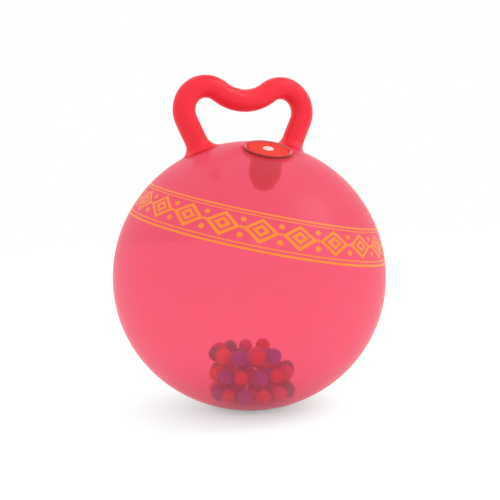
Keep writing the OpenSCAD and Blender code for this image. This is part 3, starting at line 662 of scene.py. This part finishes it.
def bandTree():
    tree, given = newTree("printedBand", {
        "Ball Radius": ("Float", 0.19), "Latitude": ("Float", 0.3), "Half Height": ("Float", 0.02),
        "Line Width": ("Float", 0.002), "Motifs": ("Int", 20), "Ink": ("Material", None)})
    radius, half = given["Ball Radius"], given["Half Height"]
    level = calc(tree, "MULTIPLY", radius, calc(tree, "SINE", given["Latitude"]))
    ringR = calc(tree, "MULTIPLY", radius, calc(tree, "COSINE", given["Latitude"]))
    step = calc(tree, "DIVIDE", 2 * math.pi, given["Motifs"])
    pitch = calc(tree, "MULTIPLY", ringR, step)
    collected = addNode(tree, "GeometryNodeJoinGeometry")

    def alongZ(value):
        return addNode(tree, "ShaderNodeCombineXYZ", {2: value}).outputs[0]

    def offLevel(sign, share):
        return calc(tree, sign, level, calc(tree, "MULTIPLY", half, share))

    def flatFill(*curves):
        bundle = addNode(tree, "GeometryNodeJoinGeometry")
        for curve in curves:
            tree.links.new(curve, bundle.inputs[0])
        fill = addNode(tree, "GeometryNodeFillCurve", {"Curve": bundle.outputs[0]})
        return addNode(tree, "GeometryNodeSubdivideMesh", {"Mesh": fill.outputs[0], "Level": 3}).outputs[0]

    def rhombus(widthShare, heightShare):
        wide, tall = calc(tree, "MULTIPLY", pitch, widthShare), calc(tree, "MULTIPLY", half, heightShare / 2)
        return addNode(tree, "GeometryNodeCurvePrimitiveQuadrilateral", {
            "Width": wide, "Bottom Height": tall, "Top Height": tall}, mode="KITE").outputs[0]

    def disc(share, sides):
        return addNode(tree, "GeometryNodeCurvePrimitiveCircle", {
            "Resolution": sides, "Radius": calc(tree, "MULTIPLY", half, share)}).outputs[0]

    def around(motif, offset, rise):  # one motif at each step round the ball, offset by a share of a step
        points = addNode(tree, "GeometryNodeMeshCircle", {"Vertices": given["Motifs"], "Radius": ringR})
        index = addNode(tree, "GeometryNodeInputIndex").outputs[0]
        spin = calc(tree, "ADD", calc(tree, "MULTIPLY", calc(tree, "ADD", index, offset), step), math.pi / 2)
        euler = addNode(tree, "ShaderNodeCombineXYZ", {0: math.pi / 2, 2: spin})
        turn = addNode(tree, "FunctionNodeEulerToRotation", {0: euler.outputs[0]})
        ring = addNode(tree, "GeometryNodeTransform", {
            "Geometry": points.outputs[0], "Rotation": alongZ(calc(tree, "MULTIPLY", offset, step)),
            "Translation": alongZ(rise)})
        laid = addNode(tree, "GeometryNodeInstanceOnPoints", {
            "Points": ring.outputs[0], "Instance": motif, "Rotation": turn.outputs[0]})
        tree.links.new(laid.outputs[0], collected.inputs[0])

    def stripe(rise, width):
        hoop = addNode(tree, "GeometryNodeMeshCylinder", {
            "Vertices": band["hoopSides"], "Radius": ringR, "Depth": width}, fill_type="NONE")
        moved = addNode(tree, "GeometryNodeTransform", {"Geometry": hoop.outputs[0], "Translation": alongZ(rise)})
        tree.links.new(moved.outputs[0], collected.inputs[0])

    around(flatFill(*[rhombus(*shares) for shares in band["diamonds"]]), 0.0, level)
    for sign in ("ADD", "SUBTRACT"):
        around(flatFill(disc(band["dot"], 24)), 0.5, offLevel(sign, band["dotRise"]))
    around(flatFill(disc(band["bead"], 16)), 0.5, level)
    for sign in ("ADD", "SUBTRACT"):
        for rise, width in band["lines"]:
            stripe(offLevel(sign, rise), calc(tree, "MULTIPLY", given["Line Width"], width))
    real = addNode(tree, "GeometryNodeRealizeInstances", {0: collected.outputs[0]})
    unit = vectorCalc(tree, "NORMALIZE", addNode(tree, "GeometryNodeInputPosition").outputs[0])[0]
    onto = addNode(tree, "ShaderNodeVectorMath", {0: unit, "Scale": radius}, operation="SCALE")
    laid = addNode(tree, "GeometryNodeSetPosition", {"Geometry": real.outputs[0], "Position": onto.outputs[0]})
    endTree(tree, laid.outputs[0], given["Ink"])
    return tree


def makeBand():
    reach = (ball["radius"] + band["lift"]) * mm
    piece = bakeTree("printedBand", bandTree(), [(0, 0, 0)], {
        "Ball Radius": reach, "Latitude": math.radians(band["latitude"]), "Half Height": reach * math.radians(band["half"]),
        "Line Width": band["line"] * mm, "Motifs": band["count"], "Ink": inkFinish()})
    axis = (rolledRight * band["tilt"][0] + rolledUp * band["tilt"][1] + viewBack * band["tilt"][2]).normalized()
    turn = Vector((0, 0, 1)).rotation_difference(axis).to_matrix().to_4x4()
    piece.data.transform(Matrix.Translation(centre * mm) @ turn)
    dress(piece, "ball", "lid_plastic")
    return len(piece.data.polygons)


print("band made, faces:", makeBand())

# plain floor and soft studio light
studio = dict(worldLevel=0.95, floorTone=0.93, floorGlow=(0.24, 0.305, 0.297), floorReach=4000, floorDrop=0.3,
              lampPlace=(1.1, -0.9, 1.5), lampAim=(0, 0, 0.25), lampSize=0.9, lampPower=7)


def seenRays(tree):  # what the camera sees straight, in gloss or through glass
    path = addNode(tree, "ShaderNodeLightPath").outputs
    straight = calc(tree, "MAXIMUM", path["Is Camera Ray"], path["Is Glossy Ray"])
    return calc(tree, "MAXIMUM", straight, path["Is Transmission Ray"])


def makeFloor():
    reach, drop = studio["floorReach"], studio["floorDrop"]
    corners = [(x * reach, y * reach, -drop) for x, y in ((-1, -1), (1, -1), (1, 1), (-1, 1))]
    finish, tree = newFinish("studioFloor")
    matt = addNode(tree, "ShaderNodeBsdfDiffuse", {"Color": (studio["floorTone"],) * 3 + (1,)})
    glow = addNode(tree, "ShaderNodeEmission", {  # evens out the pink light from the ball
        "Color": studio["floorGlow"] + (1,), "Strength": seenRays(tree)})
    endFinish(tree, addNode(tree, "ShaderNodeAddShader", {0: matt.outputs[0], 1: glow.outputs[0]}))
    makePiece("studioFloor", corners, [[0, 1, 2, 3]], finish)


def makeSky():
    world = bpy.data.worlds.new("studioSky")
    scene.world = world
    world.use_nodes = True
    tree = world.node_tree
    tree.nodes.clear()
    level = addNode(tree, "ShaderNodeMapRange", {"Value": seenRays(tree), "To Min": studio["worldLevel"], "To Max": 1.0})
    light = addNode(tree, "ShaderNodeBackground", {"Color": (1, 1, 1, 1), "Strength": level.outputs[0]})
    tree.links.new(light.outputs[0], addNode(tree, "ShaderNodeOutputWorld").inputs[0])


def makeLamp():
    lamp = bpy.data.lights.new("keyLamp", "AREA")
    lamp.shape = "DISK"
    lamp.size = studio["lampSize"]
    lamp.energy = studio["lampPower"]
    place = Vector(studio["lampPlace"])
    item = bpy.data.objects.new("keyLamp", lamp)
    item.location = place
    item.rotation_mode = "QUATERNION"
    item.rotation_quaternion = (Vector(studio["lampAim"]) - place).to_track_quat("-Z", "Y")
    item.visible_camera = False
    scene.collection.objects.link(item)


makeFloor()
makeSky()
makeLamp()
scene.view_settings.view_transform = "Standard"
scene.cycles.transparent_max_bounces = 48  # rays pass many fibres and clear walls
print("studio set")
